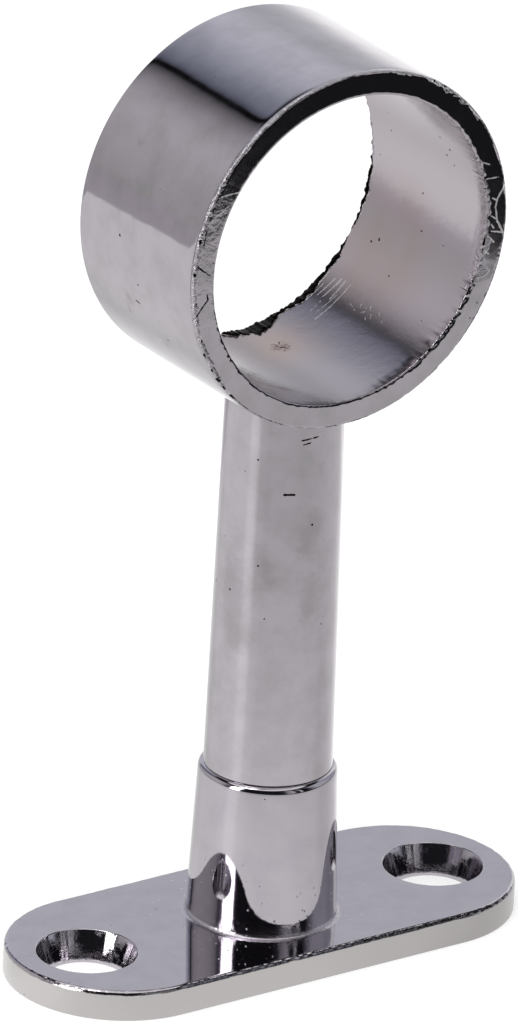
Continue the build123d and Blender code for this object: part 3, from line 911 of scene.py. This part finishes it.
# The boss from its cove up and over its rim, then down through the recess and the screw's way;
# the countersink from its softened mouth down to the short straight land
draft = (BOSS_FOOT - BOSS_TOP) / (JOINT_Z - PLATE_TOP)
boss_flare = BOSS_FOOT + BOSS_ROOT
root_top = (BOSS_FOOT - draft * BOSS_ROOT, PLATE_TOP + BOSS_ROOT)
rim_foot = (BOSS_TOP + draft * BOSS_RIM, JOINT_Z - BOSS_RIM)
boss_profile = chained(
    bend((boss_flare, PLATE_TOP), (BOSS_FOOT, PLATE_TOP), root_top, 7),
    straight(root_top, rim_foot, 16),
    bend(rim_foot, (BOSS_TOP, JOINT_Z), (BOSS_TOP - BOSS_RIM, JOINT_Z), 7),
    kinked([
        (BOSS_TOP - BOSS_RIM, JOINT_Z), (REGISTER_RECESS[0], JOINT_Z), REGISTER_RECESS,
        (SCREW_WAY, REGISTER_RECESS[1]), (SCREW_WAY, HEAD_RECESS[1]), HEAD_RECESS,
        (HEAD_RECESS[0], 0.0)], [3, 3, 3, 6, 3, 5]),
)
sink_flare = SINK_RADIUS + SINK_EDGE
sink_slope = (SINK_RADIUS - HOLE_RADIUS) / (PLATE_TOP - HOLE_LAND)
mouth_foot = (SINK_RADIUS - sink_slope * SINK_EDGE, PLATE_TOP - SINK_EDGE)
sink_profile = chained(
    bend((sink_flare, PLATE_TOP), (SINK_RADIUS, PLATE_TOP), mouth_foot, 5),
    kinked([mouth_foot, (HOLE_RADIUS, HOLE_LAND), (HOLE_RADIUS, 0.0)], [8, 3]),
)
upper, upper_turns = flat_cells(TOP_ROUND, (sink_flare, boss_flare, sink_flare), PLATE_TOP)
lower, lower_turns = flat_cells(BOTTOM_ROUND, (HOLE_RADIUS, HEAD_RECESS[0], HOLE_RADIUS), 0.0)


def hole_wall(profile, turns_above, turns_below, centre, cut):
    """A hole's wall, whose columns pass from the angles of the flat above to those of the flat
    below. Where it is cut, the cutter's chatter moves it by about a hundredth of a millimetre."""
    fade = np.linspace(0.0, 1.0, len(profile))[:, None] ** 2
    angles = (1 - fade) * turns_above + fade * turns_below
    swell = cut * (0.0022 * uneven(angles, 64, 41) + 0.001 * uneven(angles, 130, 42))
    swell[[0, -1]] = 0.0
    wall = turned(profile, angles, centre)
    wall[..., :2] = centre + (wall[..., :2] - centre) * (1 + swell[..., None])
    return wall


def skirt(which, count):
    """The plate's side along one part of its border: the rounded upper edge, the wall and the
    small break at the bottom, carried along the border's normals. The rounded edge swells and
    shrinks by a few hundredths of a millimetre, in noise that runs by the angle about the middle
    of the plate with its length drawn in to a third."""
    point, normal = outline_part(which, count)
    angle = np.linspace(0.0, math.pi / 2, 9)
    over = np.stack([TOP_ROUND * (np.sin(angle) - 1), PLATE_TOP - TOP_ROUND * (1 - np.cos(angle))], -1)
    under = np.stack([
        -BOTTOM_ROUND * (1 - np.cos(angle[::2])), BOTTOM_ROUND * (1 - np.sin(angle[::2]))], -1)
    profile = chained(over, straight(over[-1], under[0], 6), under)
    way = np.arctan2(point[:, 1], point[:, 0] / 3)
    swell = 0.012 * uneven(way, 420, 51) + 0.018 * uneven(way, 130, 52)
    bulge = np.zeros((len(profile), 1))
    bulge[:len(over), 0] = np.sin(2 * angle) * math.sqrt(0.5)
    out, height = (profile[:, i, None] + bulge * swell for i in (0, 1))
    return np.concatenate([point + out[..., None] * normal, height[..., None]], -1)


base = casting("base_casting", upper + lower + [
    hole_wall(sink_profile, upper_turns[0], lower_turns[0], (-HOLE_X, 0.0), cut=1.0),
    hole_wall(boss_profile, upper_turns[1], lower_turns[1], (0.0, 0.0), cut=0.0),
    hole_wall(sink_profile, upper_turns[2], lower_turns[2], (HOLE_X, 0.0), cut=1.0),
    skirt("far", 2 * SIDE_POINTS + 1), skirt("near", 2 * SIDE_POINTS + 1),
    skirt("left", END_POINTS + 1), skirt("right", END_POINTS + 1)])

# Where the plate's side keeps the cast skin under the plating, where its upper edge is worn, the
# countersinks, the cove and the corner round the boss, and the painted shade along the front edge
spot_x, spot_y, spot_z = points_of(base).T
beside = np.hypot(np.maximum(np.abs(spot_x) - PLATE_END, 0.0), spot_y)
from_middle = np.hypot(spot_x, spot_y)
hole_gap = np.hypot(np.abs(spot_x) - HOLE_X, spot_y)
bevel_start = PLATE_RADIUS - TOP_ROUND
# Painted shade: a band on the front of the rounded upper edge, from a little left of the middle to near the
# right end, darkening the plating where it reflects dark
painted_edge_shade = ramp(beside, PLATE_RADIUS - 0.26, PLATE_RADIUS - 0.2) * (spot_y < 0)
painted_edge_shade = painted_edge_shade * ramp(spot_z, PLATE_TOP - 0.3, PLATE_TOP - 0.22)
base_masks = {
    "cast_side": ramp(beside, PLATE_RADIUS - 0.06, PLATE_RADIUS - 0.02),
    "bevel": ramp(beside, bevel_start, bevel_start + 0.08) * ramp(
        spot_z, PLATE_TOP - TOP_ROUND - 0.2, PLATE_TOP - TOP_ROUND),
    "countersunk": ramp(hole_gap, SINK_RADIUS + 0.15, SINK_RADIUS + 0.05) * (spot_z > 0.05),
    "cove": ramp(from_middle, boss_flare + 0.07, boss_flare - 0.03) * ramp(
        spot_z, root_top[1] + 0.05, root_top[1] - 0.1) * (spot_z > PLATE_TOP - 0.5),
    "corner": ramp(from_middle, *CORNER_OUT) * ramp(spot_z, *CORNER_UP) * (spot_z > PLATE_TOP - 0.1),
    "painted_edge_shade": painted_edge_shade * np.minimum(ramp(spot_x, *EDGE_SHADE_FROM), EDGE_SHADE_MOST) * ramp(spot_x, *EDGE_SHADE_TO),
}
for name, values in base_masks.items():
    mask(base, name, values)

# The same plating, with its cast skin, its patchy countersinks, small nodules in the corner round
# the boss, and painted shade for the front edge's dark reflected line, which shows crumb by crumb
base_chrome, place, metal, shade, rough, bent, pitted = plating(
    "base_chrome", colour="#b6b1b7", dull_colour="#aea9b0", roughness=0.045,
    wave_mm=4.0, wave_height_mm=0.016, pit_mm=2.2, pit_share=0.035)
tree = base_chrome.node_tree
states = {name: node(tree, "ShaderNodeAttribute", {"attribute_name": name}).outputs["Fac"]
          for name in base_masks}
skin, crumbs, clouds = [node(tree, "ShaderNodeTexNoise", {
    "Scale": 1 / (lump_mm * MM), "Detail": detail, "Roughness": roughness}, {"Vector": place}).outputs[0]
    for lump_mm, detail, roughness in ((0.45, 4.0, 0.6), (0.3, 3.0, 0.6), (1.2, 4.0, 0.7))]
nodules = node(tree, "ShaderNodeTexVoronoi", {"Scale": 1 / (0.75 * MM)}, {"Vector": place})
nodules = node(tree, "ShaderNodeMapRange", {
    "interpolation_type": "SMOOTHSTEP", "From Min": 0.13, "From Max": 0.03}, {
    "Value": nodules.outputs["Distance"]}).outputs[0]
patchy = node(tree, "ShaderNodeMapRange", {"From Min": 0.5, "From Max": 0.7}, {"Value": clouds}).outputs[0]
patchy = node(tree, "ShaderNodeMath", {
    "operation": "MULTIPLY"}, {0: patchy, 1: states["countersunk"]}).outputs[0]
# Painted shade: the front edge's band, broken up crumb by crumb
crumbly_edge_shade = node(tree, "ShaderNodeMath", {"operation": "MULTIPLY_ADD", 1: 1.4, 2: -0.7}, {0: crumbs}).outputs[0]
crumbly_edge_shade = node(tree, "ShaderNodeMath", {"operation": "ADD"}, {0: crumbly_edge_shade, 1: states["painted_edge_shade"]}).outputs[0]
crumbly_edge_shade = node(tree, "ShaderNodeMapRange", {
    "interpolation_type": "SMOOTHSTEP", "From Min": 0.45, "From Max": 0.8}, {"Value": crumbly_edge_shade}).outputs[0]
# The plating's pits and the painted edge shade share one near-black tint and roughness
dark = node(tree, "ShaderNodeMath", {"operation": "MAXIMUM"}, {0: pitted, 1: crumbly_edge_shade}).outputs[0]
finished(
    tree, metal, shade, rough, bent,
    tints=((states["cast_side"], "#bab7b6"), (dark, "#262324")),
    levels=((states["cast_side"], 0.2), (patchy, 0.35), (states["cove"], 0.25), (dark, 0.4)),
    reliefs=(
        (states["cast_side"], skin, 0.03), (states["bevel"], crumbs, 0.012),
        (states["cove"], crumbs, 0.06), (states["countersunk"], crumbs, 0.012),
        (states["corner"], nodules, 0.03), (states["corner"], crumbs, 0.003)))
base.data.materials.append(base_chrome)
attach(base, "root")
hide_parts("base_flange")

# Assembly screw: cold-formed steel with a cross recess, zinc plated and then passivated. It is
# driven from below into the post, and only its head shows, deep in the base's recess.
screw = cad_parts["assembly_screw"]
zinc_plate = plating(
    "zinc_plated_steel", colour="#b4b3ae", dull_colour="#a6a59e", roughness=0.3,
    wave_mm=1.0, wave_height_mm=0.01, pit_mm=1.0, pit_share=0.03)[0]
screw.data.materials.clear()
screw.data.materials.append(zinc_plate)
